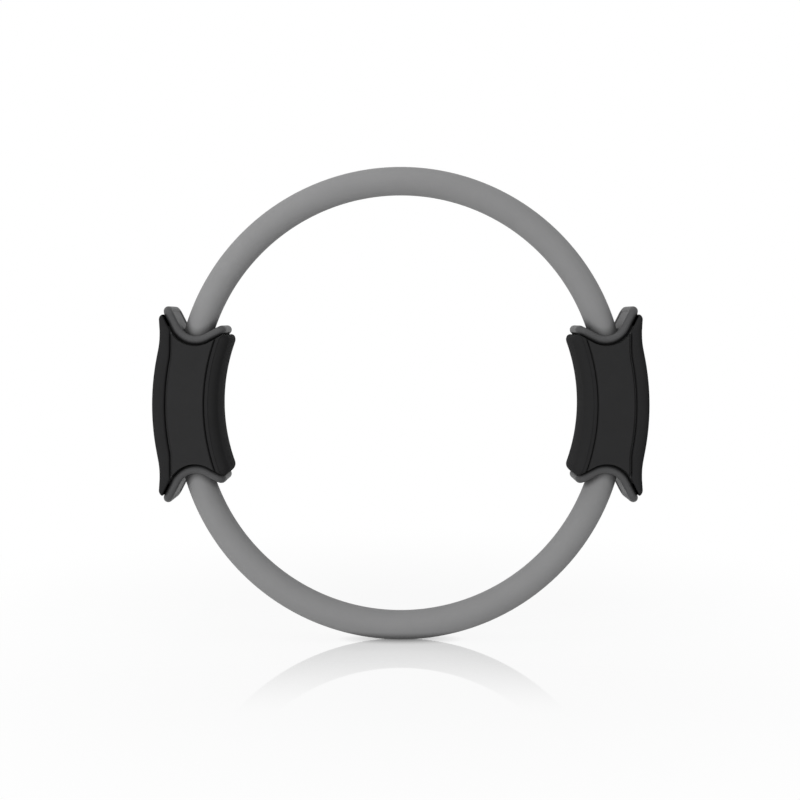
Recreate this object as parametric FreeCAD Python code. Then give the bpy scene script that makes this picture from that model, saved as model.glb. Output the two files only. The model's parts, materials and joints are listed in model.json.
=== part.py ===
import FreeCAD, Part
import math
import os

# Pilates ring: a sprung hoop of two half arcs, joined by a padded handle at each side.
# Millimetres. The origin is the middle of the hoop, +X points to the right handle,
# +Y runs along the axis of the hoop to the rear, and +Z is up.

Vector = FreeCAD.Vector
ORIGIN = Vector(0, 0, 0)
X_AXIS = Vector(1, 0, 0)
Y_AXIS = Vector(0, 1, 0)
Z_AXIS = Vector(0, 0, 1)

# Hoop: the middle line of the tube is a half circle above and a half circle below,
# with a short upright run between them inside each handle
ARC_RADIUS = 160.0
ARC_CENTRE_RISE = 8.75
SLEEVE_DIAMETER = 21.7

# Core: a bundle of glass fibre rods in each half arc, with a steel cup on each end
ROD_DIAMETER = 4.8
ROD_COUNT = 3
ROD_SLEEVE_CLEARANCE = 0.3
ROD_FERRULE_CLEARANCE = 0.1
FERRULE_WALL = 0.8
FERRULE_FLOOR = 1.5
FERRULE_LENGTH = 14.0

# Socket: the moulded block in a handle that takes a ferrule from above and one from below
SOCKET_CLEARANCE = 0.1
SOCKET_WALL = 2.2
SOCKET_SHOULDER = 2.0
FERRULE_STAND_OUT = 1.0

# Handle shells: a front and a rear half that meet on the plane of the hoop
HANDLE_DEPTH = 48.0
PLATE_THICKNESS = 2.5
SHELL_WALL = 2.5
RIB_THICKNESS = 3.0
RIB_HEIGHT = 14.0
RIB_CLEARANCE = 0.1
MOUTH_FLOOR = 3.5
MOUTH_SINK = 0.8
MOUTH_WEB_HEIGHT = 10.0
MOUTH_WEB_THICKNESS = 6.0
SLEEVE_SEAT_CLEARANCE = 0.3

# Rolled lip round each mouth: a steep run up to the outer tip and a flat run to the inner tip.
# Reaches are measured from the middle of the tube, the valley's height from the middle of
# the handle, and the rises of the tips from the valley. The sink is how far below the lip's
# middle line the walls end on the inner run.
LIP_DIAMETER = 6.8
LIP_INSET = 4.5
LIP_VALLEY_REACH = 0.4
LIP_VALLEY_HEIGHT = 41.4
LIP_OUTER_TIP_REACH = 14.1
LIP_OUTER_TIP_RISE = 28.6
LIP_INNER_TIP_REACH = 26.0
LIP_INNER_TIP_RISE = 14.2
LIP_INNER_SINK = 2.0
LIP_BEND_RADIUS = 16.6
LIP_CORNER_HOLLOW = 0.8

# Plates and pads over the shells
PLATE_WIDTH = 27.4
PLATE_FLARE_HEIGHT = 41.4
PLATE_FLARE_OUT = 1.1
PLATE_EDGE = 0.8
SEAM_GAP = 0.6
PAD_CROWN_RADIUS = 150.0
PAD_EDGE_RADIUS = 5.0
OUTER_PAD_REACH = 26.4
OUTER_PAD_THICKNESS = 7.8
OUTER_PAD_FLARE_HEIGHT = 52.5
OUTER_PAD_FLARE_OUT = 1.7
OUTER_PAD_UPRIGHT_RUN = 14.7
OUTER_PAD_TIP_RADIUS = 4.0
INNER_PAD_REACH = 24.4
INNER_PAD_THICKNESS = 7.2
INNER_PAD_HALF_LENGTH = 51.8
INNER_PAD_TIP_RADIUS = 3.0

# Shell screws, driven from the rear into the bosses of the front shell
SCREW_DIAMETER = 2.8
SCREW_HEAD_DIAMETER = 5.0
SCREW_HEAD_HEIGHT = 2.0
SCREW_HEAD_SINK = 1.5
SCREW_TIP_COVER = 4.0
SCREW_CLEARANCE = 0.25
THREAD_CLEARANCE = 0.05
HEAD_CLEARANCE = 0.3
DRIVE_SLOT_WIDTH = 0.9
DRIVE_SLOT_LENGTH = 3.2
DRIVE_SLOT_DEPTH = 1.1
BOSS_DIAMETER = 6.0
BOSS_GAP = 0.5

CUT_OVERRUN = 1.0

# Worked out from the values above
SLEEVE_RADIUS = SLEEVE_DIAMETER / 2
ROD_RADIUS = ROD_DIAMETER / 2
ROD_PITCH_RADIUS = ROD_RADIUS / math.sin(math.pi / ROD_COUNT)
BUNDLE_RADIUS = ROD_PITCH_RADIUS + ROD_RADIUS
FERRULE_BORE_RADIUS = BUNDLE_RADIUS + ROD_FERRULE_CLEARANCE
FERRULE_RADIUS = FERRULE_BORE_RADIUS + FERRULE_WALL
SOCKET_BORE_RADIUS = FERRULE_RADIUS + SOCKET_CLEARANCE
SOCKET_RADIUS = SOCKET_BORE_RADIUS + SOCKET_WALL
FERRULE_BASE_HEIGHT = ARC_CENTRE_RISE - FERRULE_FLOOR
FERRULE_TOP_HEIGHT = ARC_CENTRE_RISE + FERRULE_LENGTH
SOCKET_HALF_LENGTH = FERRULE_TOP_HEIGHT - FERRULE_STAND_OUT
SHOULDER_HALF_LENGTH = RIB_HEIGHT - RIB_THICKNESS / 2 - RIB_CLEARANCE
HALF_DEPTH = HANDLE_DEPTH / 2
SHELL_FACE = HALF_DEPTH - PLATE_THICKNESS
CAVITY_FACE = SHELL_FACE - SHELL_WALL
LIP_RADIUS = LIP_DIAMETER / 2
LIP_PLANE = SHELL_FACE - LIP_INSET
LIP_MARGIN = LIP_RADIUS + SEAM_GAP
LIP_CORNER_RADIUS = LIP_RADIUS + LIP_CORNER_HOLLOW
LIP_OUTER_TIP_HEIGHT = LIP_VALLEY_HEIGHT + LIP_OUTER_TIP_RISE
LIP_INNER_TIP_HEIGHT = LIP_VALLEY_HEIGHT + LIP_INNER_TIP_RISE
BOSS_RADIUS = BOSS_DIAMETER / 2
SCREW_RADIUS = SCREW_DIAMETER / 2
SCREW_HEAD_RADIUS = SCREW_HEAD_DIAMETER / 2
SCREW_SPREAD = BUNDLE_RADIUS + BOSS_GAP + BOSS_RADIUS
SCREW_HEIGHT = FERRULE_TOP_HEIGHT + BOSS_GAP + BOSS_RADIUS
SCREW_SEAT = SHELL_FACE - SCREW_HEAD_SINK
SCREW_TIP = SHELL_FACE - SCREW_TIP_COVER
BOSS_TOP_HEIGHT = SCREW_HEIGHT + BOSS_RADIUS + BOSS_GAP
SLEEVE_END_SLOPE = (BOSS_TOP_HEIGHT - ARC_CENTRE_RISE) / ARC_RADIUS
SLEEVE_END_HEIGHT = BOSS_TOP_HEIGHT + SLEEVE_RADIUS * SLEEVE_END_SLOPE
OUTER_PAD_RADIUS = ARC_RADIUS + OUTER_PAD_REACH
OUTER_PAD_HALF_LENGTH = OUTER_PAD_FLARE_HEIGHT + OUTER_PAD_UPRIGHT_RUN
INNER_PAD_RADIUS = ARC_RADIUS - INNER_PAD_REACH


def point(x, z):
    """Point on the plane of the hoop."""
    return Vector(x, 0, z)


def line(start, end):
    """Straight edge."""
    return Part.LineSegment(start, end).toShape()


def arc(start, middle, end):
    """Round edge through three points."""
    return Part.Arc(start, middle, end).toShape()


def on_round(centre, radius, first, second):
    """Point of a circle midway between the directions of two of its points."""
    direction = (first - centre).normalize() + (second - centre).normalize()
    return centre + direction.normalize() * radius


def mirrored(shape, normal):
    """Copy of a shape on the other side of a plane through the middle of the hoop."""
    return shape.mirror(ORIGIN, normal)


def both_ends(shape):
    """A shape at the upper end of a handle and its copy at the lower end."""
    return [shape, mirrored(shape, Z_AXIS)]


def prism(edges, near, far):
    """Solid of an outline on the plane of the hoop, from one depth to another."""
    face = Part.Face(Part.Wire(edges))
    face.translate(Y_AXIS * near)
    return face.extrude(Y_AXIS * (far - near))


def rod_along_y(radius, x, z, near, far):
    """Round bar along the axis of the hoop, from one depth to another."""
    return Part.makeCylinder(radius, far - near, Vector(x, near, z), Y_AXIS)


def tube_angle(height):
    """Angle on the upper half arc, from its right end, at a height."""
    return math.asin((height - ARC_CENTRE_RISE) / ARC_RADIUS)


def tube_middle(height):
    """Distance of the tube's middle line from the hoop's axis plane at a height."""
    return ARC_RADIUS * math.cos(tube_angle(height))


def along_hoop(radius, low, high):
    """Round bar on the middle line of the tube at the right, between two heights above the middle."""
    pieces = []
    run_top = min(high, ARC_CENTRE_RISE)
    if low < run_top:
        pieces.append(Part.makeCylinder(radius, run_top - low, point(ARC_RADIUS, low), Z_AXIS))
    arc_low = max(low, ARC_CENTRE_RISE)
    if high > arc_low:
        first = math.degrees(tube_angle(arc_low))
        turn = math.degrees(tube_angle(high)) - first
        centre = point(0, ARC_CENTRE_RISE)
        disc = Part.Face(Part.Wire(Part.makeCircle(radius, point(ARC_RADIUS, ARC_CENTRE_RISE), Z_AXIS)))
        disc.rotate(centre, -Y_AXIS, first)
        pieces.append(disc.revolve(centre, -Y_AXIS, turn))
    return pieces[0].multiFuse(pieces[1:]).removeSplitter() if len(pieces) > 1 else pieces[0]


class FlaredSide:
    """Outer side of a handle layer: round about the hoop, with upright ends that flare out."""

    def __init__(self, radius, flare_height, flare_out):
        self.radius = radius
        self.upright = math.sqrt(radius ** 2 - flare_height ** 2) + flare_out
        beyond = self.upright ** 2 + flare_height ** 2 - radius ** 2
        self.bend_radius = beyond / (radius - self.upright) / 2
        self.bend_centre = point(self.upright + self.bend_radius, flare_height)

    def edges(self, inset, half_height):
        """Edges up the side between two heights, drawn in by an inset."""
        radius = self.radius - inset
        bend_radius = self.bend_radius + inset
        join = self.bend_centre * (radius / self.bend_centre.Length)
        start = self.bend_centre - X_AXIS * bend_radius
        bend = on_round(self.bend_centre, bend_radius, join, start)
        low_start, low_bend, low_join = [point(p.x, -p.z) for p in (start, bend, join)]
        return [
            line(point(start.x, -half_height), low_start),
            arc(low_start, low_bend, low_join),
            arc(low_join, point(radius, 0), join),
            arc(join, bend, start),
            line(start, point(start.x, half_height)),
        ]


OUTER_SIDE = FlaredSide(OUTER_PAD_RADIUS, OUTER_PAD_FLARE_HEIGHT, OUTER_PAD_FLARE_OUT)
PLATE_SIDE = FlaredSide(ARC_RADIUS + PLATE_WIDTH / 2, PLATE_FLARE_HEIGHT, PLATE_FLARE_OUT)


def round_side(radius, half_height):
    """Edge down the inner side of a handle, round about the hoop."""
    top = point(math.sqrt(radius ** 2 - half_height ** 2), half_height)
    return [arc(top, point(radius, 0), point(top.x, -half_height))]


def handle_outline(outer_edges, inner_edges):
    """Closed outline of a handle layer from the edges up its outer side and down its inner side."""
    top = line(outer_edges[-1].lastVertex().Point, inner_edges[0].firstVertex().Point)
    bottom = line(inner_edges[-1].lastVertex().Point, outer_edges[0].firstVertex().Point)
    return outer_edges + [top] + inner_edges + [bottom]


class LipLine:
    """Middle line of the front lip at the upper mouth of the right handle."""

    def __init__(self):
        self.outer_tip = point(ARC_RADIUS + LIP_OUTER_TIP_REACH, LIP_OUTER_TIP_HEIGHT)
        self.inner_tip = point(ARC_RADIUS - LIP_INNER_TIP_REACH, LIP_INNER_TIP_HEIGHT)
        valley = point(ARC_RADIUS - LIP_VALLEY_REACH, LIP_VALLEY_HEIGHT)
        self.outward = (self.outer_tip - valley).normalize()
        self.inward = (self.inner_tip - valley).normalize()
        self.up = (self.outward + self.inward).normalize()
        half_opening = self.outward.getAngle(self.up)
        self.centre = valley + self.up * (LIP_BEND_RADIUS / math.sin(half_opening))
        to_run = LIP_BEND_RADIUS / math.tan(half_opening)
        self.outer_foot = (valley + self.outward * to_run - self.centre).normalize()
        self.inner_foot = (valley + self.inward * to_run - self.centre).normalize()

    def bend(self, drop):
        """Start, middle and end of the bend at the bottom, a drop below the middle line."""
        radius = LIP_BEND_RADIUS + drop
        return [self.centre + way * radius for way in (self.inner_foot, -self.up, self.outer_foot)]

    def above(self, drop):
        """Closed outline of the open space above the line, starting a drop below it."""
        inner, bottom, outer = self.bend(drop)
        far_outer = outer + self.outward * LIP_OUTER_TIP_HEIGHT
        far_inner = inner + self.inward * LIP_OUTER_TIP_HEIGHT
        far_corner = point(far_inner.x, far_outer.z)
        return [
            line(far_inner, inner),
            arc(inner, bottom, outer),
            line(outer, far_outer),
            line(far_outer, far_corner),
            line(far_corner, far_inner),
        ]

    def band(self, drop, rise):
        """Closed outline from tip to tip, between a drop below the line and a rise above it."""
        inner, bottom, outer = self.bend(drop)
        upper_inner, upper_bottom, upper_outer = self.bend(-rise)
        inner_end = self.inner_tip + self.inner_foot * drop
        upper_inner_end = self.inner_tip - self.inner_foot * rise
        outer_end = self.outer_tip + self.outer_foot * drop
        upper_outer_end = self.outer_tip - self.outer_foot * rise
        return [
            line(inner_end, inner),
            arc(inner, bottom, outer),
            line(outer, outer_end),
            line(outer_end, upper_outer_end),
            line(upper_outer_end, upper_outer),
            arc(upper_outer, upper_bottom, upper_inner),
            line(upper_inner, upper_inner_end),
            line(upper_inner_end, inner_end),
        ]

    def corner(self, tip, way):
        """Points of the bend from the side run at a tip to the front run: side, middle, front."""
        centre = tip - way * LIP_CORNER_RADIUS - Y_AXIS * (LIP_PLANE - LIP_CORNER_RADIUS)
        side = centre + way * LIP_CORNER_RADIUS
        front = centre - Y_AXIS * LIP_CORNER_RADIUS
        return [side, on_round(centre, LIP_CORNER_RADIUS, side, front), front]

    def roll(self):
        """Half of the rolled lip, in front of the plane of the hoop."""
        outer = self.corner(self.outer_tip, self.outward)
        inner = self.corner(self.inner_tip, self.inward)
        bend = [p - Y_AXIS * LIP_PLANE for p in self.bend(0)]
        path = Part.Wire([
            line(self.outer_tip, outer[0]),
            arc(outer[0], outer[1], outer[2]),
            line(outer[2], bend[2]),
            arc(bend[2], bend[1], bend[0]),
            line(bend[0], inner[2]),
            arc(inner[2], inner[1], inner[0]),
            line(inner[0], self.inner_tip),
        ])
        section = Part.Wire(Part.makeCircle(LIP_RADIUS, self.outer_tip, Y_AXIS))
        return path.makePipeShell([section], True, False)


LIP = LipLine()


def lip_space(drop, near, far):
    """Solid space above the lip line at both ends of a handle, starting a drop below the line."""
    return both_ends(prism(LIP.above(drop), near, far))


def shell_outline(inset):
    """Outline of the shells, drawn in from their outer faces by an inset."""
    height = LIP_OUTER_TIP_HEIGHT
    return handle_outline(
        OUTER_SIDE.edges(OUTER_PAD_THICKNESS + inset, height),
        round_side(INNER_PAD_RADIUS + INNER_PAD_THICKNESS + inset, height),
    )


def plate_outline(growth):
    """Outline of the plates between the two seams, grown by a gap."""
    height = LIP_OUTER_TIP_HEIGHT
    return handle_outline(
        PLATE_SIDE.edges(-growth, height),
        round_side(ARC_RADIUS - PLATE_WIDTH / 2 - growth, height),
    )


def mouth_saddles():
    """Saddles that close the mouths behind the front lips, a sink below the tops of the lips."""
    return both_ends(prism(LIP.band(LIP_INNER_SINK, LIP_RADIUS - MOUTH_SINK), -LIP_PLANE, 0))


def inner_sink():
    """Open space over the inner runs of the lips, where the walls end below the lip line."""
    space = prism(LIP.above(LIP_INNER_SINK), -HALF_DEPTH, CUT_OVERRUN)
    inner_half = Part.makeBox(ARC_RADIUS, HANDLE_DEPTH, LIP_OUTER_TIP_HEIGHT, Vector(0, -HALF_DEPTH, 0))
    return both_ends(space.common(inner_half))


def screw_places():
    """Places of a handle's screws on the plane of the hoop, beside the bare rods."""
    middle = tube_middle(SCREW_HEIGHT)
    return [
        (middle + side * SCREW_SPREAD, end * SCREW_HEIGHT)
        for side in (-1, 1)
        for end in (-1, 1)
    ]


def shell_inside():
    """What stands inside a shell half: mouth floors and webs, socket ribs and screw bosses."""
    floor = prism(LIP.above(MOUTH_FLOOR), -SHELL_FACE, CUT_OVERRUN)
    web = prism(LIP.above(MOUTH_WEB_HEIGHT), -SHELL_FACE, MOUTH_WEB_THICKNESS - SHELL_FACE)
    rib = Part.makeBox(
        OUTER_PAD_RADIUS - INNER_PAD_RADIUS,
        SHELL_FACE + CUT_OVERRUN,
        RIB_THICKNESS,
        Vector(INNER_PAD_RADIUS, -SHELL_FACE, RIB_HEIGHT - RIB_THICKNESS / 2),
    )
    bosses = [rod_along_y(BOSS_RADIUS, x, z, -SHELL_FACE, CUT_OVERRUN) for x, z in screw_places()]
    return both_ends(floor) + both_ends(web) + both_ends(rib) + bosses


def shell_half():
    """Front half of a handle's shell, before its screw holes."""
    body = prism(shell_outline(0), -SHELL_FACE, 0).cut(lip_space(0, -HALF_DEPTH, CUT_OVERRUN))
    body = body.cut(lip_space(LIP_MARGIN, -HALF_DEPTH, -LIP_PLANE))
    hollow = prism(shell_outline(SHELL_WALL), -CAVITY_FACE, CUT_OVERRUN).cut(shell_inside())
    body = body.cut([hollow] + inner_sink()).fuse(mouth_saddles())
    sleeve_seat = along_hoop(
        SLEEVE_RADIUS + SLEEVE_SEAT_CLEARANCE, SLEEVE_END_HEIGHT, LIP_OUTER_TIP_HEIGHT
    )
    socket_seat = along_hoop(SOCKET_RADIUS + RIB_CLEARANCE, 0, SOCKET_HALF_LENGTH)
    body = body.cut(both_ends(sleeve_seat) + both_ends(socket_seat))
    return body.fuse(both_ends(LIP.roll())).removeSplitter()


def front_shell(half):
    """Front shell: blind holes for the screw threads."""
    holes = [
        rod_along_y(SCREW_RADIUS + THREAD_CLEARANCE, x, z, -SCREW_TIP, CUT_OVERRUN)
        for x, z in screw_places()
    ]
    return half.cut(holes)


def rear_shell(half):
    """Rear shell: clearance holes with sunk seats for the screw heads."""
    holes = []
    for x, z in screw_places():
        holes.append(rod_along_y(SCREW_RADIUS + SCREW_CLEARANCE, x, z, -CUT_OVERRUN, HALF_DEPTH))
        holes.append(rod_along_y(SCREW_HEAD_RADIUS + HEAD_CLEARANCE, x, z, SCREW_SEAT, HALF_DEPTH))
    return mirrored(half, Y_AXIS).cut(holes)


def front_plate():
    """Flat plate on the front shell, from seam to seam and from lip to lip."""
    plate = prism(plate_outline(0), -HALF_DEPTH, -SHELL_FACE)
    rim = [edge for edge in plate.Edges if edge.BoundBox.YMax < -HALF_DEPTH + PLATE_EDGE]
    plate = plate.makeChamfer(PLATE_EDGE, rim)
    return plate.cut(lip_space(LIP_MARGIN, -HALF_DEPTH - CUT_OVERRUN, 0))


def rear_plate(front):
    """Flat plate on the rear shell, with a hole over each screw head."""
    holes = [
        rod_along_y(SCREW_HEAD_RADIUS + HEAD_CLEARANCE, x, z, 0, HALF_DEPTH + CUT_OVERRUN)
        for x, z in screw_places()
    ]
    return mirrored(front, Y_AXIS).cut(holes)


def pad_section(peak, outward, back):
    """Closed section of a pad across the handle: crowned face, rounded edges, flat back."""
    crown = Vector(peak - outward * PAD_CROWN_RADIUS, 0, 0)
    edge_y = HALF_DEPTH - PAD_EDGE_RADIUS
    reach = PAD_CROWN_RADIUS - PAD_EDGE_RADIUS
    edge_x = crown.x + outward * math.sqrt(reach ** 2 - edge_y ** 2)
    corners = []
    for side in (-1, 1):
        centre = Vector(edge_x, side * edge_y, 0)
        on_crown = crown + (centre - crown) * (PAD_CROWN_RADIUS / reach)
        on_face = Vector(edge_x, side * HALF_DEPTH, 0)
        corners.append([on_face, on_round(centre, PAD_EDGE_RADIUS, on_face, on_crown), on_crown])
    front, rear = corners
    front_back = Vector(back, -HALF_DEPTH, 0)
    rear_back = Vector(back, HALF_DEPTH, 0)
    return Part.Wire([
        line(front_back, front[0]),
        arc(front[0], front[1], front[2]),
        arc(front[2], Vector(peak, 0, 0), rear[2]),
        arc(rear[2], rear[1], rear[0]),
        line(rear[0], rear_back),
        line(rear_back, front_back),
    ])


def under_pad():
    """What a pad is cut to: the shells, the plates with their seams and the lips' space."""
    return [
        prism(shell_outline(0), -SHELL_FACE, SHELL_FACE),
        prism(plate_outline(SEAM_GAP), -HALF_DEPTH - CUT_OVERRUN, HALF_DEPTH + CUT_OVERRUN),
    ] + lip_space(LIP_MARGIN, -HALF_DEPTH - CUT_OVERRUN, HALF_DEPTH + CUT_OVERRUN)


def finished_pad(band, section, tip_radius):
    """A pad's band with the edges of its ends rounded, cut to fit over the shells."""
    ends = [face for face in band.Faces if len(face.Edges) == len(section.Edges)]
    free_length = HANDLE_DEPTH - PAD_EDGE_RADIUS
    edges = [edge for face in ends for edge in face.Edges if edge.Length < free_length]
    return band.makeFillet(tip_radius, edges).cut(under_pad())


def outer_pad():
    """Soft pad on the outside of a handle: a crowned band with flared ends."""
    path = Part.Wire(OUTER_SIDE.edges(0, OUTER_PAD_HALF_LENGTH))
    section = pad_section(OUTER_SIDE.upright, 1, ARC_RADIUS)
    section.translate(Z_AXIS * -OUTER_PAD_HALF_LENGTH)
    band = path.makePipeShell([section], True, False)
    return finished_pad(band, section, OUTER_PAD_TIP_RADIUS)


def inner_pad():
    """Soft pad on the inside of a handle, crowned towards the middle of the hoop, with level ends."""
    half_turn = math.degrees(math.asin((INNER_PAD_HALF_LENGTH + CUT_OVERRUN) / INNER_PAD_RADIUS))
    section = pad_section(INNER_PAD_RADIUS, -1, ARC_RADIUS)
    section.rotate(ORIGIN, Y_AXIS, half_turn)
    band = Part.Face(section).revolve(ORIGIN, -Y_AXIS, half_turn + half_turn)
    beyond_end = Part.makeBox(
        ARC_RADIUS,
        HANDLE_DEPTH + CUT_OVERRUN,
        ARC_RADIUS,
        Vector(0, -HALF_DEPTH - CUT_OVERRUN / 2, INNER_PAD_HALF_LENGTH),
    )
    return finished_pad(band.cut(both_ends(beyond_end)), section, INNER_PAD_TIP_RADIUS)


def core_socket():
    """Moulded block with a bore at each end and shoulders between the shells' ribs."""
    shoulder = Part.makeCylinder(
        SOCKET_RADIUS + SOCKET_SHOULDER,
        SHOULDER_HALF_LENGTH + SHOULDER_HALF_LENGTH,
        point(ARC_RADIUS, -SHOULDER_HALF_LENGTH),
        Z_AXIS,
    )
    block = shoulder.multiFuse(both_ends(along_hoop(SOCKET_RADIUS, 0, SOCKET_HALF_LENGTH)))
    bore = along_hoop(SOCKET_BORE_RADIUS, FERRULE_BASE_HEIGHT, SOCKET_HALF_LENGTH + CUT_OVERRUN)
    return block.cut(both_ends(bore)).removeSplitter()


def shell_screw(x, z):
    """Cross-head screw with its head at the rear."""
    head_top = SCREW_SEAT + SCREW_HEAD_HEIGHT
    shank = rod_along_y(SCREW_RADIUS, x, z, -SCREW_TIP, SCREW_SEAT)
    head = rod_along_y(SCREW_HEAD_RADIUS, x, z, SCREW_SEAT, head_top)
    screw = shank.fuse(head)
    floor = head_top - DRIVE_SLOT_DEPTH
    for width, height in ((DRIVE_SLOT_WIDTH, DRIVE_SLOT_LENGTH), (DRIVE_SLOT_LENGTH, DRIVE_SLOT_WIDTH)):
        corner = Vector(x - width / 2, floor, z - height / 2)
        screw = screw.cut(Part.makeBox(width, DRIVE_SLOT_DEPTH + CUT_OVERRUN, height, corner))
    return screw


def ferrule():
    """Steel cup on the right end of the upper rods."""
    cup = along_hoop(FERRULE_RADIUS, FERRULE_BASE_HEIGHT, FERRULE_TOP_HEIGHT)
    return cup.cut(along_hoop(FERRULE_BORE_RADIUS, ARC_CENTRE_RISE, FERRULE_TOP_HEIGHT + CUT_OVERRUN))


def upper_sleeve():
    """Foam tube of the upper half arc, from handle to handle."""
    centre = point(0, ARC_CENTRE_RISE)
    first = math.degrees(tube_angle(SLEEVE_END_HEIGHT))
    middle = point(ARC_RADIUS, ARC_CENTRE_RISE)
    ring = Part.Face(Part.Wire(Part.makeCircle(SLEEVE_RADIUS, middle, Z_AXIS)))
    bore = Part.Face(Part.Wire(Part.makeCircle(BUNDLE_RADIUS + ROD_SLEEVE_CLEARANCE, middle, Z_AXIS)))
    ring = ring.cut(bore)
    ring.rotate(centre, -Y_AXIS, first)
    return ring.revolve(centre, -Y_AXIS, 180 - first - first)


def upper_rods():
    """Bundle of sprung rods of the upper half arc, each its own solid."""
    rods = []
    for number in range(ROD_COUNT):
        angle = 2 * math.pi * number / ROD_COUNT
        offset = Vector(math.cos(angle), math.sin(angle), 0) * ROD_PITCH_RADIUS
        end = point(ARC_RADIUS, ARC_CENTRE_RISE) + offset
        disc = Part.Face(Part.Wire(Part.makeCircle(ROD_RADIUS, end, Z_AXIS)))
        rods.append(disc.revolve(point(0, ARC_CENTRE_RISE), -Y_AXIS, 180))
    return Part.makeCompound(rods)


def right_handle():
    """Pieces of the right handle, by name."""
    half = shell_half()
    front = front_plate()
    screws = [shell_screw(x, z) for x, z in screw_places()]
    return {
        "front_shell": front_shell(half),
        "rear_shell": rear_shell(half),
        "front_plate": front,
        "rear_plate": rear_plate(front),
        "outer_pad": outer_pad(),
        "inner_pad": inner_pad(),
        "core_socket": core_socket(),
        "shell_screws": Part.makeCompound(screws),
        "upper_ferrule": ferrule(),
        "lower_ferrule": mirrored(ferrule(), Z_AXIS),
    }


def hoop():
    """Pieces of the two half arcs, by name."""
    pieces = {"upper_sleeve": upper_sleeve(), "upper_core_rods": upper_rods()}
    for name, shape in list(pieces.items()):
        pieces[name.replace("upper", "lower")] = mirrored(shape, Z_AXIS)
    return pieces


def main():
    """Write every piece, in its place, to its own file."""
    os.makedirs("parts", exist_ok=True)
    pieces = hoop()
    for name, shape in right_handle().items():
        pieces["right_" + name] = shape
        pieces["left_" + name] = mirrored(shape, X_AXIS)
    for name, shape in pieces.items():
        shape.exportStep("parts/" + name + ".step")


main()
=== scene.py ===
import json
import logging
import math
from dataclasses import dataclass
from enum import Enum
from typing import ClassVar

import bmesh
import bpy
from mathutils import Matrix, Vector


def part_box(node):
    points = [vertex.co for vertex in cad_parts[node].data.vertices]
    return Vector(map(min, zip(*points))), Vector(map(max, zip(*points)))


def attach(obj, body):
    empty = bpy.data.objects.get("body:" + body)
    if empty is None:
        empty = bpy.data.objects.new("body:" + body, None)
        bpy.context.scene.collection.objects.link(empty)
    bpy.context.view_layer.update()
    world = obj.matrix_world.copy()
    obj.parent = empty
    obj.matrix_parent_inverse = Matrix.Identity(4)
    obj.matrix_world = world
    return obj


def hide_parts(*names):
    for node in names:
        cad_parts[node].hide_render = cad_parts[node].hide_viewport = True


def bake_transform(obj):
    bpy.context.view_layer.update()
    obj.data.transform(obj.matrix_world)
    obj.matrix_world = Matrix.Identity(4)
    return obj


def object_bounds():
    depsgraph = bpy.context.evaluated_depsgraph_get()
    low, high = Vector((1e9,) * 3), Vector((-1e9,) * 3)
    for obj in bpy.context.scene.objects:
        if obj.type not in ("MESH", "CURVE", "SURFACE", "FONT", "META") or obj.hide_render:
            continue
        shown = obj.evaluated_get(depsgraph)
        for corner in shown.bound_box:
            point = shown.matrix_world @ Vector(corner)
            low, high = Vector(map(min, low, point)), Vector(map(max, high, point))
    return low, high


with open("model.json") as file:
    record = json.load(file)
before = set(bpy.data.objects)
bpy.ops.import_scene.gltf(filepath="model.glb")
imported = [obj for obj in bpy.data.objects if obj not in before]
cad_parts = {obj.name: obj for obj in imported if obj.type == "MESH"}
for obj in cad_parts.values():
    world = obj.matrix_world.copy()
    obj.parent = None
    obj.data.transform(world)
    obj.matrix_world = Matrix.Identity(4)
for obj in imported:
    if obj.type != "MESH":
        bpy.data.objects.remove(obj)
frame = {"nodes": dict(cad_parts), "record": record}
CAD_LOW, CAD_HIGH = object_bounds()

LOG = logging.getLogger("pilates_ring")
Colour = tuple[float, float, float]
Place = tuple[float, float, float]
FlatPoint = tuple[float, float]
Socket = bpy.types.NodeSocket
WHITE = (1.0, 1.0, 1.0, 1.0)


class Half(Enum):
    """Mirrored half of the ring, with the sign of its place along an axis."""

    @property
    def word(self) -> str:
        """The half as it stands in the nodes' names."""
        return self.name.lower()


class Side(Half):
    """Handle of the ring, with the sign of its place along X."""

    LEFT = -1
    RIGHT = 1


class Arc(Half):
    """Half arc of the hoop, with the sign of its place along Z."""

    UPPER = 1
    LOWER = -1


class Slot(Enum):
    """Material slots of the record."""

    FOAM = "sleeve_foam"
    RODS = "rod_glass_fibre"
    PAD = "pad_rubber"
    PLATE = "plate_plastic"
    SHELL = "shell_plastic"
    SOCKET = "socket_plastic"
    STEEL = "zinc_steel"


class SocketKind(Enum):
    """Kinds of sockets on the node groups."""

    COLOUR = "NodeSocketColor"
    NUMBER = "NodeSocketFloat"
    VECTOR = "NodeSocketVector"


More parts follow.
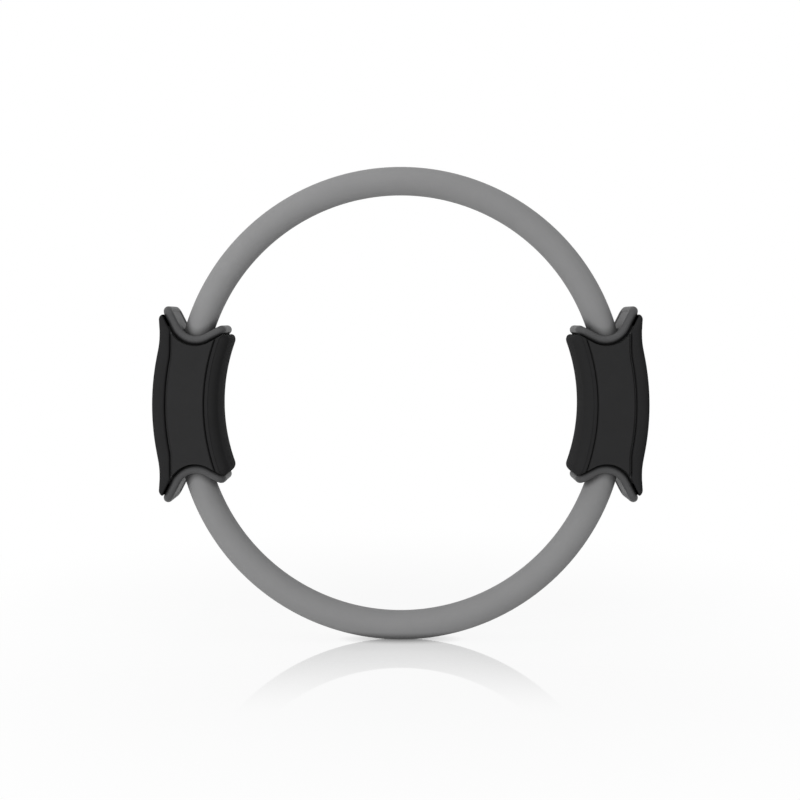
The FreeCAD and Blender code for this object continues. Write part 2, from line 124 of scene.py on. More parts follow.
class Bench:
    """Adds and joins the nodes of one shader tree."""

    def __init__(self, tree: bpy.types.NodeTree) -> None:
        """Start on a tree.

        Args:
            tree: The node tree that gets the nodes.
        """
        self.tree = tree

    @classmethod
    def fresh(cls, owner: bpy.types.Material | bpy.types.World) -> "Bench":
        """Start on the emptied tree of a material or world.

        Args:
            owner: The new material or world.

        Returns:
            The bench on its tree.
        """
        owner.use_nodes = True
        owner.node_tree.nodes.clear()
        return cls(owner.node_tree)

    def add(self, kind: str, inputs: dict[str | int, object] | None = None,
            **settings: object) -> bpy.types.Node:
        """Add a node, with its settings, and fill or join its inputs.

        Args:
            kind: Type name of the node.
            inputs: Values of its inputs, or the sockets that feed them, by name or number.
            settings: Values of the node's own properties.

        Returns:
            The new node.
        """
        node = self.tree.nodes.new(kind)
        for name, value in settings.items():
            setattr(node, name, value)
        for name, value in (inputs or {}).items():
            if isinstance(value, Socket):
                self.tree.links.new(value, node.inputs[name])
            else:
                node.inputs[name].default_value = value
        return node

    def maths(self, operation: str, first: object, second: object = 0.0) -> Socket:
        """Add a sum of one or two values or sockets.

        Args:
            operation: Name of the sum.
            first: First value or socket.
            second: Second value or socket, if the sum takes one.

        Returns:
            The socket of the result.
        """
        return self.add("ShaderNodeMath", {0: first, 1: second}, operation=operation).outputs[0]

    def place(self) -> Socket:
        """The surface's own place, in metres."""
        return self.add("ShaderNodeTexCoord").outputs["Object"]

    def dimmed(self, colour: Socket, level: Socket) -> Socket:
        """Make a colour lighter or darker.

        Args:
            colour: Socket of the colour.
            level: Socket of the number that the colour is multiplied by.

        Returns:
            The socket of the result.
        """
        return self.add("ShaderNodeVectorMath", {0: colour, "Scale": level}, operation="SCALE").outputs[0]

    def mixed(self, share: Socket, first: bpy.types.Node, second: bpy.types.Node) -> bpy.types.Node:
        """Mix two shaders.

        Args:
            share: Socket of the second shader's share.
            first: Node of the first shader.
            second: Node of the second shader.

        Returns:
            The node of the mixed shader.
        """
        return self.add("ShaderNodeMixShader", {"Fac": share, 1: first.outputs[0], 2: second.outputs[0]})

    def faded(self, distance: Socket, share: float, end: float) -> Socket:
        """Make a share that falls smoothly to nothing with a distance.

        Args:
            distance: Socket of the distance.
            share: Share at no distance.
            end: Distance at which nothing is left.

        Returns:
            The socket of the share.
        """
        node = self.add("ShaderNodeMapRange", {
            "Value": distance,
            "From Min": 0.0,
            "From Max": end,
            "To Min": share,
            "To Max": 0.0,
        }, interpolation_type="SMOOTHSTEP")
        return node.outputs["Result"]

    def seen_directly(self) -> Socket:
        """Mask of what the camera, a reflection or a clear piece sees."""
        path = self.add("ShaderNodeLightPath")
        seen = self.maths("MAXIMUM", path.outputs["Is Camera Ray"], path.outputs["Is Glossy Ray"])
        return self.maths("MAXIMUM", seen, path.outputs["Is Transmission Ray"])


@dataclass(frozen=True)
class Effect:
    """A surface effect that several finishes share, kept as a node group."""

    TAKES: ClassVar[dict[str, SocketKind]] = {}
    GIVES: ClassVar[dict[str, SocketKind]] = {}

    name: str

    def group(self) -> bpy.types.NodeTree:
        """The effect's node group, made at its first use.

        Returns:
            The node group.
        """
        found = bpy.data.node_groups.get(self.name)
        if found is not None:
            return found
        tree = bpy.data.node_groups.new(self.name, "ShaderNodeTree")
        for way, sockets in (("INPUT", self.TAKES), ("OUTPUT", self.GIVES)):
            for socket, kind in sockets.items():
                tree.interface.new_socket(socket, in_out=way, socket_type=kind.value)
        bench = Bench(tree)
        bench.add("NodeGroupOutput", self.made(bench, bench.add("NodeGroupInput")))
        return tree

    def made(self, bench: Bench, start: bpy.types.Node) -> dict[str, Socket]:
        """Make the group's nodes; each effect has its own.

        Args:
            bench: Bench on the new group.
            start: The group's input node.

        Returns:
            The sockets that feed the group's outputs, by name.
        """
        raise NotImplementedError

    def placed(self, bench: Bench, inputs: dict[str, object]) -> bpy.types.Node:
        """Place the effect in a material.

        Args:
            bench: Bench on the material's tree.
            inputs: Values or sockets for the group's inputs.

        Returns:
            The group node.
        """
        return bench.add("ShaderNodeGroup", inputs, node_tree=self.group())


class Mottle(Effect):
    """Soft uneven patches in a moulded colour."""

    TAKES = {"Colour": SocketKind.COLOUR, "Patch Scale": SocketKind.NUMBER, "Amount": SocketKind.NUMBER}
    GIVES = {"Colour": SocketKind.COLOUR}
    DETAIL = 4.0
    ROUGHNESS = 0.6
    NOISE_MEAN = 0.5

    def made(self, bench: Bench, start: bpy.types.Node) -> dict[str, Socket]:
        """Make a colour that wanders a little lighter and darker.

        Args:
            bench: Bench on the new group.
            start: The group's input node.

        Returns:
            The socket of the colour.
        """
        noise = bench.add("ShaderNodeTexNoise", {
            "Vector": bench.place(),
            "Scale": start.outputs["Patch Scale"],
            "Detail": self.DETAIL,
            "Roughness": self.ROUGHNESS,
        })
        swing = bench.maths("SUBTRACT", noise.outputs["Fac"], self.NOISE_MEAN)
        level = bench.maths("ADD", bench.maths("MULTIPLY", swing, start.outputs["Amount"]), 1.0)
        return {"Colour": bench.dimmed(start.outputs["Colour"], level)}


class Grain(Effect):
    """Fine pebbled grain of a moulded or foamed skin."""

    TAKES = {"Cell Scale": SocketKind.NUMBER, "Roughening": SocketKind.NUMBER}
    GIVES = {"Height": SocketKind.NUMBER, "Speckle": SocketKind.NUMBER}
    CELL_SMOOTHNESS = 0.6
    SPECKLE_SCALE_SHARE = 0.45
    SPECKLE_DETAIL = 3.0

    def made(self, bench: Bench, start: bpy.types.Node) -> dict[str, Socket]:
        """Make a height field of small rounded cells, roughened by a speckle.

        Args:
            bench: Bench on the new group.
            start: The group's input node.

        Returns:
            The sockets of the height and of the speckle in it.
        """
        place = bench.place()
        cells = bench.add("ShaderNodeTexVoronoi", {
            "Vector": place,
            "Scale": start.outputs["Cell Scale"],
            "Smoothness": self.CELL_SMOOTHNESS,
        }, feature="SMOOTH_F1")
        noise = bench.add("ShaderNodeTexNoise", {
            "Vector": place,
            "Scale": bench.maths("MULTIPLY", start.outputs["Cell Scale"], self.SPECKLE_SCALE_SHARE),
            "Detail": self.SPECKLE_DETAIL,
        })
        rough = bench.maths("MULTIPLY", noise.outputs["Fac"], start.outputs["Roughening"])
        height = bench.maths("SUBTRACT", rough, cells.outputs["Distance"])
        return {"Height": height, "Speckle": noise.outputs["Fac"]}


class Streaks(Effect):
    """Fine lines that run along one way of the surface."""

    TAKES = {"Stretch": SocketKind.VECTOR}
    GIVES = {"Line": SocketKind.NUMBER}
    DETAIL = 3.0

    def made(self, bench: Bench, start: bpy.types.Node) -> dict[str, Socket]:
        """Make a stretched noise of thin lines.

        Args:
            bench: Bench on the new group.
            start: The group's input node.

        Returns:
            The socket of the lines.
        """
        stretched = bench.add("ShaderNodeVectorMath", {0: bench.place(), 1: start.outputs["Stretch"]},
                              operation="MULTIPLY")
        noise = bench.add("ShaderNodeTexNoise", {
            "Vector": stretched.outputs[0],
            "Scale": 1.0,
            "Detail": self.DETAIL,
        })
        return {"Line": noise.outputs["Fac"]}


class Crevice(Effect):
    """Painted shade in the gaps between pieces, where little light gets in."""

    TAKES = {"Colour": SocketKind.COLOUR, "Depth": SocketKind.NUMBER}
    GIVES = {"Colour": SocketKind.COLOUR}
    SAMPLES = 12
    REACH = 0.008
    CLOSED_SHARE = 0.35
    OPEN_SHARE = 0.95

    def made(self, bench: Bench, start: bpy.types.Node) -> dict[str, Socket]:
        """Darken a colour as painted shade where other surfaces stand close.

        Args:
            bench: Bench on the new group.
            start: The group's input node.

        Returns:
            The socket of the colour.
        """
        # painted shade: ambient occlusion darkens the colour where other surfaces stand close
        around = bench.add("ShaderNodeAmbientOcclusion", {"Distance": self.REACH}, samples=self.SAMPLES)
        level = bench.add("ShaderNodeMapRange", {
            "Value": around.outputs["AO"],
            "From Min": self.CLOSED_SHARE,
            "From Max": self.OPEN_SHARE,
            "To Min": bench.maths("SUBTRACT", 1.0, start.outputs["Depth"]),
            "To Max": 1.0,
        })
        return {"Colour": bench.dimmed(start.outputs["Colour"], level.outputs["Result"])}


MOTTLE = Mottle("colour_mottle")
# painted shade in crevices, shared by the grained finishes
PAINTED_CREVICE_SHADE = Crevice("crevice_shade")
GRAIN = Grain("moulded_grain")
STREAKS = Streaks("drawn_streaks")


@dataclass(frozen=True, kw_only=True)
class Finish:
    """Skin of one material slot."""

    slot: Slot
    colour: Colour
    roughness: tuple[float, float]
    specular: float
    relief: float
    patch_scale: float = 60.0
    patch_amount: float = 0.12
    pattern_range: tuple[float, float] = (0.3, 0.7)

    def material(self) -> bpy.types.Material:
        """The finish's material, made at its first use.

        Returns:
            The node material.
        """
        name = self.slot.value + "_finish"
        found = bpy.data.materials.get(name)
        if found is not None:
            return found
        made = bpy.data.materials.new(name)
        made.diffuse_color = (*self.colour, 1.0)
        self.fill(Bench.fresh(made))
        return made

    def fill(self, bench: Bench) -> None:
        """Make the skin's nodes; each kind of finish has its own.

        Args:
            bench: Bench on the material's tree.
        """
        raise NotImplementedError

    def mottled(self, bench: Bench) -> Socket:
        """The colour with its soft patches.

        Args:
            bench: Bench on the material's tree.

        Returns:
            The socket of the colour.
        """
        mottle = MOTTLE.placed(bench, {
            "Colour": (*self.colour, 1.0),
            "Patch Scale": self.patch_scale,
            "Amount": self.patch_amount,
        })
        return mottle.outputs["Colour"]

    def coat(self, bench: Bench, pattern: Socket, height: Socket, inputs: dict[str, object]) -> None:
        """Make the shader, with a gloss that follows a pattern and a relief that follows a height.

        Args:
            bench: Bench on the material's tree.
            pattern: Socket of the pattern.
            height: Socket of the height.
            inputs: Further values or sockets for the shader.
        """
        gloss = bench.add("ShaderNodeMapRange", {
            "Value": pattern,
            "From Min": self.pattern_range[0],
            "From Max": self.pattern_range[1],
            "To Min": self.roughness[0],
            "To Max": self.roughness[1],
        })
        bump = bench.add("ShaderNodeBump", {"Strength": 1.0, "Distance": self.relief, "Height": height})
        shader = bench.add("ShaderNodeBsdfPrincipled", {
            "Roughness": gloss.outputs["Result"],
            "Specular IOR Level": self.specular,
            "Normal": bump.outputs["Normal"],
            **inputs,
        })
        bench.add("ShaderNodeOutputMaterial", {"Surface": shader.outputs["BSDF"]})


@dataclass(frozen=True, kw_only=True)
class GrainedFinish(Finish):
    """Pebbled skin of foam, rubber or moulded plastic, with painted shade in its crevices."""

    cell_scale: float
    roughening: float = 0.8
    sheen: float = 0.0
    sheen_roughness: float = 0.6
    # share of the colour taken away as painted shade in crevices
    crevice_depth: float = 0.7

    def fill(self, bench: Bench) -> None:
        """Make the skin from the shared mottle, painted crevice shade and grain.

        Args:
            bench: Bench on the material's tree.
        """
        # painted shade: the mottled colour is darkened in crevices
        shaded = PAINTED_CREVICE_SHADE.placed(bench, {"Colour": self.mottled(bench), "Depth": self.crevice_depth})
        grain = GRAIN.placed(bench, {"Cell Scale": self.cell_scale, "Roughening": self.roughening})
        self.coat(bench, grain.outputs["Speckle"], grain.outputs["Height"], {
            "Base Color": shaded.outputs["Colour"],
            "Sheen Weight": self.sheen,
            "Sheen Roughness": self.sheen_roughness,
        })


@dataclass(frozen=True, kw_only=True)
class DrawnFinish(Finish):
    """Skin with lines along one way: brushed steel or the fibres of a rod."""

    stretch: tuple[float, float, float]
    metallic: float = 0.0

    def fill(self, bench: Bench) -> None:
        """Make the skin from the shared mottle and streaks.

        Args:
            bench: Bench on the material's tree.
        """
        line = STREAKS.placed(bench, {"Stretch": self.stretch}).outputs["Line"]
        self.coat(bench, line, line, {"Base Color": self.mottled(bench), "Metallic": self.metallic})


FINISHES: dict[Slot, Finish] = {
    finish.slot: finish
    for finish in (
        GrainedFinish(
            slot=Slot.FOAM, colour=(0.235, 0.235, 0.237), roughness=(0.6, 0.75), specular=0.3,
            relief=0.00006, cell_scale=1500.0, patch_scale=45.0, patch_amount=0.1, sheen=0.1,
        ),
        GrainedFinish(
            slot=Slot.PAD, colour=(0.0225, 0.0225, 0.023), roughness=(0.8, 0.9), specular=0.03,
            relief=0.00005, cell_scale=1900.0, patch_amount=0.2,
        ),
        GrainedFinish(
            slot=Slot.PLATE, colour=(0.0275, 0.0275, 0.028), roughness=(0.75, 0.85), specular=0.02,
            relief=0.00003, cell_scale=2600.0, patch_amount=0.15,
        ),
        GrainedFinish(
            slot=Slot.SHELL, colour=(0.075, 0.075, 0.0765), roughness=(0.42, 0.52), specular=0.2,
            # deeper painted shade in the shell's crevices
            relief=0.00002, cell_scale=2400.0, crevice_depth=0.8,
        ),
        GrainedFinish(
            slot=Slot.SOCKET, colour=(0.045, 0.045, 0.046), roughness=(0.45, 0.6), specular=0.4,
            relief=0.00003, cell_scale=2000.0,
        ),
        DrawnFinish(
            slot=Slot.STEEL, colour=(0.6, 0.6, 0.61), roughness=(0.25, 0.45), specular=0.5,
            relief=0.00001, stretch=(1500.0, 200.0, 1500.0), metallic=1.0,
        ),
        DrawnFinish(
            slot=Slot.RODS, colour=(0.66, 0.63, 0.48), roughness=(0.28, 0.42), specular=0.5,
            relief=0.00002, stretch=(2200.0, 2200.0, 260.0),
        ),
    )
}


def linked(name: str, mesh: bmesh.types.BMesh, material: bpy.types.Material) -> bpy.types.Object:
    """Make a mesh an object of the scene, at the origin.

    Args:
        name: Name of the object.
        mesh: The mesh, in its place; it is freed here.
        material: The object's material.

    Returns:
        The new object.
    """
    data = bpy.data.meshes.new(name)
    mesh.to_mesh(data)
    mesh.free()
    data.materials.append(material)
    made = bpy.data.objects.new(name, data)
    bpy.context.scene.collection.objects.link(made)
    return made


def finished(name: str, mesh: bmesh.types.BMesh, slot: Slot, sharp: float = 40.0) -> bpy.types.Object:
    """Make a shaped mesh a piece of the ring, with its finish.

    Args:
        name: Name of the piece.
        mesh: The closed mesh, in its place; it is freed here.
        slot: Material slot that the piece takes its finish from.
        sharp: Angle in degrees from which an edge stays sharp.

    Returns:
        The new object, at the origin.
    """
    bmesh.ops.recalc_face_normals(mesh, faces=mesh.faces[:])
    piece = linked(name, mesh, FINISHES[slot].material())
    piece.data.shade_smooth()
    piece.data.set_sharp_from_angle(angle=math.radians(sharp))
    LOG.info("%s: %d faces", name, len(piece.data.polygons))
    return piece


def sweep(mesh: bmesh.types.BMesh, centre: Place, angle: float, steps: int) -> None:
    """Sweep the sections in a mesh about an axis along Y, from +X towards +Z.

    Args:
        mesh: The mesh with the flat sections.
        centre: Point that the axis goes through.
        angle: Angle of the sweep.
        steps: Number of steps along it.
    """
    bmesh.ops.spin(
        mesh,
        geom=mesh.verts[:] + mesh.edges[:] + mesh.faces[:],
        cent=centre,
        axis=(0.0, -1.0, 0.0),
        angle=angle,
        steps=steps,
    )


@dataclass(frozen=True)
class Hoop:
    """The two half arcs: foam sleeves over bundles of sprung rods."""

    radius: float
    rise: float
    sleeve_radius: float
    end_angle: float
    bore_radius: float = 0.00547
    rod_radius: float = 0.0024
    rod_pitch: float = 0.002771
    rod_count: int = 3
    grip_height: float = 0.062
    sleeve_sides: int = 64
    rod_sides: int = 20
    steps: int = 60

    @classmethod
    def measured(cls) -> "Hoop":
        """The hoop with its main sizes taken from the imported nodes."""
        low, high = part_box("upper_sleeve")
        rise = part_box("upper_core_rods")[0].z
        sleeve_radius = (high.y - low.y) / 2
        radius = high.z - sleeve_radius - rise
        return cls(radius, rise, sleeve_radius, math.asin((low.z - rise) / (radius - sleeve_radius)))

    def at_end(self, offset: Vector, angle: float) -> Matrix:
        """Place of a cross section of the tube on the right half of the upper arc.

        Args:
            offset: Where the section's middle lies on the tube's own section.
            angle: Angle from the right end of the arc.

        Returns:
            The matrix that puts a flat section there.
        """
        centre = Matrix.Translation((0.0, 0.0, self.rise))
        turn = Matrix.Rotation(-angle, 4, "Y")
        return centre @ turn @ Matrix.Translation(Vector((self.radius, 0.0, 0.0)) + offset)

    def sweep_to_crown(self, mesh: bmesh.types.BMesh, start: float) -> None:
        """Sweep the sections in a mesh up to the crown of the arc.

        Args:
            mesh: The mesh with the flat sections.
            start: Angle at which the sections stand.
        """
        sweep(mesh, (0.0, 0.0, self.rise), math.pi / 2 - start, self.steps)

    def sleeve(self) -> bmesh.types.BMesh:
        """Half of the upper sleeve, at the right, as a closed tube wall."""
        mesh = bmesh.new()
        place = self.at_end(Vector(), self.end_angle)
        for radius in (self.sleeve_radius, self.bore_radius):
            bmesh.ops.create_circle(mesh, segments=self.sleeve_sides, radius=radius, matrix=place)
        bmesh.ops.bridge_loops(mesh, edges=mesh.edges[:])
        self.sweep_to_crown(mesh, self.end_angle)
        return mesh

    def rods(self) -> bmesh.types.BMesh:
        """Half of the upper rods, at the right."""
        mesh = bmesh.new()
        for number in range(self.rod_count):
            angle = 2 * math.pi * number / self.rod_count
            offset = Vector((math.cos(angle), math.sin(angle), 0.0)) * self.rod_pitch
            place = self.at_end(offset, 0.0)
            bmesh.ops.create_circle(
                mesh, cap_ends=True, segments=self.rod_sides, radius=self.rod_radius, matrix=place
            )
        self.sweep_to_crown(mesh, 0.0)
        return mesh

    def build(self) -> None:
        """Build the four quarters of the sleeves and rods."""
        ends = {
            (Arc.UPPER, Side.LEFT): "left_handle",
            (Arc.UPPER, Side.RIGHT): "upper_arc_end",
            (Arc.LOWER, Side.LEFT): "left_handle",
            (Arc.LOWER, Side.RIGHT): "right_handle",
        }
        layers = (("sleeve", self.sleeve, Slot.FOAM), ("core_rods", self.rods, Slot.RODS))
        for (arc, side), body in ends.items():
            flip = Vector((side.value, 1.0, arc.value))
            for word, shape, slot in layers:
                mesh = shape()
                bmesh.ops.scale(mesh, vec=flip, verts=mesh.verts[:])
                piece = finished(f"{arc.word}_{side.word}_{word}", mesh, slot)
                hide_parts(f"{arc.word}_{word}")
                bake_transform(piece)


@dataclass(frozen=True)
class FlaredSide:
    """Outer side of a handle layer: round about the hoop, with upright ends that flare out."""

    radius: float
    flare_height: float
    flare_out: float

    def reach(self, height: float) -> float:
        """Distance of the side from the middle of the hoop.

        Args:
            height: Height above or below the middle of the handle.

        Returns:
            The distance along X.
        """
        level = abs(height)
        upright = math.sqrt(self.radius ** 2 - self.flare_height ** 2) + self.flare_out
        bend = (upright ** 2 + self.flare_height ** 2 - self.radius ** 2) / (self.radius - upright) / 2
        centre = Vector((upright + bend, self.flare_height))
        if level <= centre.y * self.radius / centre.length:
            return math.sqrt(self.radius ** 2 - level ** 2)
        if level < self.flare_height:
            return centre.x - math.sqrt(bend ** 2 - (level - centre.y) ** 2)
        return upright


@dataclass(frozen=True)
class RoundSide:
    """Inner side of a handle layer: round about the hoop."""

    radius: float

    def reach(self, height: float) -> float:
        """Distance of the side from the middle of the hoop.

        Args:
            height: Height above or below the middle of the handle.

        Returns:
            The distance along X.
        """
        return math.sqrt(self.radius ** 2 - height ** 2)


@dataclass(frozen=True)
class LipRun:
    """Straight run of a lip's lower edge, from its bend to its tip."""

    foot: FlatPoint
    slope: float

    def reach(self, height: float) -> float | None:
        """Distance of the run from the middle of the hoop.

        Args:
            height: Height above or below the middle of the handle.

        Returns:
            The distance along X, or None below the run's foot.
        """
        level = abs(height)
        if level < self.foot[1]:
            return None
        return self.foot[0] + (level - self.foot[1]) * self.slope


@dataclass(frozen=True)
class LipLine:
    """Middle line of the rolled lip round a mouth: a bend at the bottom and a run to each tip."""

    valley: FlatPoint = (0.1596, 0.0414)
    outer_tip: FlatPoint = (0.1741, 0.0700)
    inner_tip: FlatPoint = (0.1340, 0.0556)
    bend_radius: float = 0.0166
    margin: float = 0.0040

    def run(self, tip: FlatPoint, other: FlatPoint) -> LipRun:
        """Lower edge of the run to one tip.

        Args:
            tip: Tip that the run leads to.
            other: The other tip.

        Returns:
            The run, from the bend to beyond the tip.
        """
        valley = Vector(self.valley)
        way = (Vector(tip) - valley).normalized()
        up = (way + (Vector(other) - valley).normalized()).normalized()
        half_opening = way.angle(up)
        centre = valley + up * (self.bend_radius / math.sin(half_opening))
        to_foot = valley + way * (self.bend_radius / math.tan(half_opening)) - centre
        foot = centre + to_foot.normalized() * (self.bend_radius + self.margin)
        return LipRun((foot.x, foot.y), way.x / way.y)

    def steep_run(self) -> LipRun:
        """The run to the outer tip."""
        return self.run(self.outer_tip, self.inner_tip)

    def flat_run(self) -> LipRun:
        """The run to the inner tip."""
        return self.run(self.inner_tip, self.outer_tip)


@dataclass(frozen=True)
class PadForm:
    """Crowned soft pad that wraps over the side of a handle down to the seams."""

    crown: FlaredSide | RoundSide
    seam: FlaredSide | RoundSide
    lip: LipRun
    outward: float
    half_length: float
    tip_radius: float
    back_depth: float
    half_depth: float = 0.024
    flange: float = 0.00245
    crown_radius: float = 0.150
    edge_radius: float = 0.006
    seam_radius: float = 0.0020
    seam_gap: float = 0.0012
    end_taper_share: float = 0.45
    flat_steps: int = 4
    edge_steps: int = 8
    seam_steps: int = 5
    length_steps: int = 72
    sharp_angle: float = 55.0

    @property
    def peak(self) -> float:
        """Distance of the crown's peak from the middle of the hoop."""
        return self.crown.reach(0.0)

    @property
    def seam_depth(self) -> float:
        """Depth of the seam under the crown's peak, halfway up the handle."""
        return self.outward * (self.peak - self.seam.reach(0.0)) - self.seam_gap

    def half_section(self) -> list[FlatPoint]:
        """Front half of the pad's section, from the peak round to its back.

        Returns:
            Pairs of depth under the peak and distance from the plane of the hoop.
        """
        points = []
        edge_y = self.half_depth - self.edge_radius
        for number in range(self.flat_steps + 1):
            y = edge_y * number / self.flat_steps
            points.append((self.crown_radius - math.sqrt(self.crown_radius ** 2 - y ** 2), y))
        edge_reach = self.crown_radius - self.edge_radius
        edge_depth = self.crown_radius - math.sqrt(edge_reach ** 2 - edge_y ** 2)
        first = math.asin(edge_y / edge_reach)
        for number in range(self.edge_steps + 1):
            angle = first + (math.pi / 2 - first) * number / self.edge_steps
            points.append((edge_depth - self.edge_radius * math.cos(angle),
                           edge_y + self.edge_radius * math.sin(angle)))
        deep = self.seam_depth
        seam_y = self.half_depth - self.seam_radius
        for number in range(self.seam_steps + 1):
            angle = math.pi / 2 * number / self.seam_steps
            points.append((deep - self.seam_radius + self.seam_radius * math.sin(angle),
                           seam_y + self.seam_radius * math.cos(angle)))
        under = self.half_depth - self.flange
        points += [(deep, under), ((deep + self.back_depth) / 2, under)]
        for number in range(self.flat_steps, 0, -1):
            points.append((self.back_depth, under * number / self.flat_steps))
        return points

    def formed(self, angle: float, depth: float, y: float, half_turn: float) -> Vector:
        """Place of a point of the swept band on the pad.

        Args:
            angle: Angle of the point about the hoop's axis.
            depth: Depth of the point under the crown's peak.
            y: Distance of the point from the plane of the hoop.
            half_turn: Angle at which the band ends.

        Returns:
            The point on the pad of the right handle.
        """
        height = self.half_length * math.sin(angle / half_turn * math.pi / 2)
        over = max(abs(height) - self.half_length + self.tip_radius, 0.0)
        inset = self.tip_radius - math.sqrt(max(self.tip_radius ** 2 - over ** 2, 0.0))
        top = self.crown.reach(height) - self.outward * inset
        seam = self.seam.reach(height) + self.outward * self.seam_gap
        lip = self.lip.reach(height)
        if lip is not None and (lip - seam) * self.outward > 0:
            seam = lip
        if (top - seam) * self.outward < 0:
            seam = top
        share = depth / self.seam_depth
        draw_in = self.end_taper_share * inset / self.half_depth
        return Vector((top + (seam - top) * share, y * (1 - draw_in), height))

    def build(self, name: str, side: Side) -> bpy.types.Object:
        """Sweep the section about the hoop's axis and draw it out to the pad's form.

        Args:
            name: Name of the piece.
            side: Handle that the pad is on.

        Returns:
            The pad.
        """
        mesh = bmesh.new()
        half = self.half_section()
        middle = (self.back_depth, 0.0)
        rear = [(depth, -y) for depth, y in reversed(half[1:])]
        half_turn = self.half_length / self.peak
        start = Matrix.Rotation(half_turn, 4, "Y")
        corners = [
            mesh.verts.new(start @ Vector((self.peak - self.outward * depth, y, 0.0)))
            for depth, y in half + [middle] + rear
        ]
        mesh.faces.new(corners)
        sweep(mesh, (0.0, 0.0, 0.0), 2 * half_turn, self.length_steps)
        for vertex in mesh.verts:
            radius = math.hypot(vertex.co.x, vertex.co.z)
            angle = math.atan2(vertex.co.z, vertex.co.x)
            depth = self.outward * (self.peak - radius)
            vertex.co = self.formed(angle, depth, vertex.co.y, half_turn)
        bmesh.ops.scale(mesh, vec=(side.value, 1.0, 1.0), verts=mesh.verts[:])
        return finished(name, mesh, Slot.PAD, self.sharp_angle)


@dataclass(frozen=True)
class Handle:
    """One handle: soft pads over the moulded shells and plates."""

    side: Side
    outer: PadForm = PadForm(
        crown=FlaredSide(radius=0.1864, flare_height=0.0525, flare_out=0.0017),
        seam=FlaredSide(radius=0.1737, flare_height=0.0414, flare_out=0.0011),
        lip=LipLine().steep_run(),
        outward=1.0,
        half_length=0.0672,
        tip_radius=0.004,
        back_depth=0.0078,
    )
    inner: PadForm = PadForm(
        crown=RoundSide(radius=0.1356),
        seam=RoundSide(radius=0.1463),
        lip=LipLine().flat_run(),
        outward=-1.0,
        half_length=0.0521,
        tip_radius=0.0062,
        back_depth=0.0072,
        edge_radius=0.009,
    )

    def build(self) -> None:
        """Build the pads over the shells."""
        for word, form in (("outer_pad", self.outer), ("inner_pad", self.inner)):
            name = f"{self.side.word}_{word}"
            pad = form.build(name + "_soft", self.side)
            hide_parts(name)
            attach(pad, f"{self.side.word}_handle")


def dress_nodes() -> None:
    """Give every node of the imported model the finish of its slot."""
    for row in frame["record"]["subparts"]:
        node = frame["nodes"][row["node"]]
        material = FINISHES[Slot(row["material_slot"])].material()
        node.data.materials.clear()
        node.data.materials.append(material)
        LOG.info("%s: dressed as %s", row["node"], material.name)


@dataclass(frozen=True)
class Floor:
    """White floor with a soft shadow under the ring and a mirror image of its foot."""

    reach: float = 3.0
    grey: float = 0.75
    contact_share: float = 0.8
    contact_fade: float = 0.065
    contact_slimness: float = 3.0
    shadow_share: float = 0.13
    shadow_fade: float = 0.5
    mirror_share: float = 0.305
    mirror_fade: float = 0.17
    mirror_roughness: float = 0.04

    def distance(self, bench: Bench, slimness: float) -> Socket:
        """Distance on the floor from the point that the ring stands on.

        Args:
            bench: Bench on the floor's tree.
            slimness: How many times more a step towards the camera counts than one aside.

        Returns:
            The socket of the distance.
        """
        slim = bench.add("ShaderNodeMapping", {
            "Vector": bench.place(),
            "Location": (0.0, 0.0, -CAD_LOW.z),
            "Scale": (1.0, slimness, 1.0),
        })
        length = bench.add("ShaderNodeVectorMath", {0: slim.outputs["Vector"]}, operation="LENGTH")
        return length.outputs["Value"]

    def material(self) -> bpy.types.Material:
        """Make a floor that is seen white, takes shadows near the ring and lights it as grey.

        Returns:
            The floor's material.
        """
        made = bpy.data.materials.new("white_floor")
        bench = Bench.fresh(made)
        matte = bench.add("ShaderNodeBsdfDiffuse", {"Color": (self.grey, self.grey, self.grey, 1.0)})
        glow = bench.add("ShaderNodeEmission", {"Color": WHITE, "Strength": 1.0})
        mirror = bench.add("ShaderNodeBsdfGlossy", {"Color": WHITE, "Roughness": self.mirror_roughness})
        shadow = bench.faded(self.distance(bench, 1.0), self.shadow_share, self.shadow_fade)
        under = self.distance(bench, self.contact_slimness)
        contact = bench.faded(under, self.contact_share, self.contact_fade)
        shaded = bench.mixed(bench.maths("MAXIMUM", shadow, contact), glow, matte)
        apart = bench.add("ShaderNodeSeparateXYZ", {"Vector": bench.place()})
        depth = bench.maths("ABSOLUTE", apart.outputs["Y"])
        polished = bench.mixed(bench.faded(depth, self.mirror_share, self.mirror_fade), shaded, mirror)
        final = bench.mixed(bench.seen_directly(), matte, polished)
        bench.add("ShaderNodeOutputMaterial", {"Surface": final.outputs[0]})
        return made

    def lay(self) -> None:
        """Lay the floor under the lowest point of the ring."""
        mesh = bmesh.new()
        place = Matrix.Translation((0.0, 0.0, CAD_LOW.z))
        bmesh.ops.create_grid(mesh, x_segments=1, y_segments=1, size=self.reach, matrix=place)
        floor = linked("studio_floor", mesh, self.material())


@dataclass(frozen=True)
class Lamp:
    """Soft square lamp that faces the ring."""

    name: str
    place: Place
    size: float
    watts: float

    def hang(self) -> None:
        """Hang the lamp, shown neither to the camera nor in reflections."""
        data = bpy.data.lights.new(self.name, "AREA")
        data.size = self.size
        data.energy = self.watts
        lamp = bpy.data.objects.new(self.name, data)
        lamp.location = self.place
        lamp.visible_camera = False
        lamp.visible_glossy = False
        lamp.rotation_euler = (-Vector(self.place)).to_track_quat("-Z", "Y").to_euler()
        bpy.context.scene.collection.objects.link(lamp)


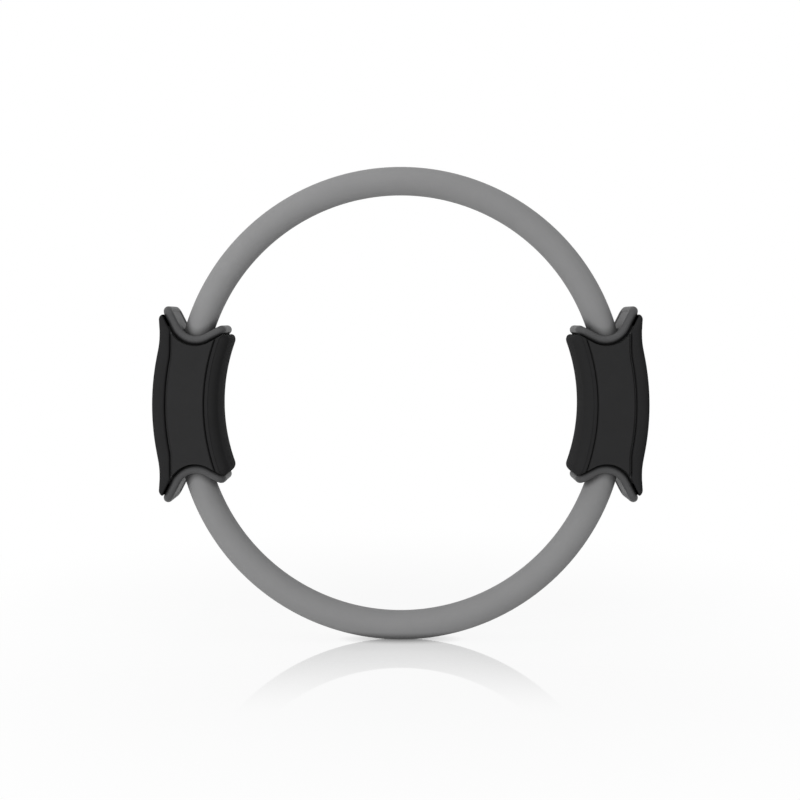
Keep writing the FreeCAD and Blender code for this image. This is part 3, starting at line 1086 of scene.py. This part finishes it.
@dataclass(frozen=True)
class Camera:
    """Level camera in front of the ring, as the photograph was taken."""

    image_pixels: float = 800.0
    focal_pixels: float = 1126.0
    sensor_width: float = 36.0
    place: Place = (-0.0006, -0.857, 0.0631)
    shift: float = -0.10

    def stand(self) -> None:
        """Stand the camera in its place and make it the scene's own."""
        data = bpy.data.cameras.new("photo_camera")
        data.sensor_width = self.sensor_width
        data.lens = self.sensor_width * self.focal_pixels / self.image_pixels
        data.shift_y = self.shift
        camera = bpy.data.objects.new("photo_camera", data)
        camera.location = self.place
        camera.rotation_euler = (math.pi / 2, 0.0, 0.0)
        bpy.context.scene.collection.objects.link(camera)
        bpy.context.scene.camera = camera


@dataclass(frozen=True)
class Studio:
    """White floor and surround, soft lamps and the camera."""

    surround: float = 0.45
    floor: Floor = Floor()
    camera: Camera = Camera()
    lamps: tuple[Lamp, ...] = (
        Lamp("key_lamp", place=(-0.82, -1.52, 0.2), size=1.0, watts=20.0),
        Lamp("top_lamp", place=(-0.15, -0.25, 1.6), size=1.0, watts=6.0),
    )

    def surround_light(self) -> None:
        """Make a surround that is seen white and lights softly from all sides."""
        world = bpy.data.worlds.new("white_surround")
        bench = Bench.fresh(world)
        strength = bench.add("ShaderNodeMapRange", {
            "Value": bench.seen_directly(),
            "To Min": self.surround,
            "To Max": 1.0,
        })
        light = bench.add("ShaderNodeBackground", {"Color": WHITE, "Strength": strength.outputs["Result"]})
        bench.add("ShaderNodeOutputWorld", {"Surface": light.outputs["Background"]})
        bpy.context.scene.world = world

    def build(self) -> None:
        """Set up the floor, the surround, the lamps and the camera."""
        self.floor.lay()
        self.surround_light()
        for lamp in self.lamps:
            lamp.hang()
        self.camera.stand()
        bpy.context.scene.view_settings.view_transform = "Standard"


def main() -> None:
    """Build the ring and the studio."""
    logging.basicConfig(level=logging.INFO, format="%(name)s %(message)s")
    dress_nodes()
    Hoop.measured().build()
    for side in Side:
        Handle(side).build()
    Studio().build()


if __name__ == "__main__":
    main()
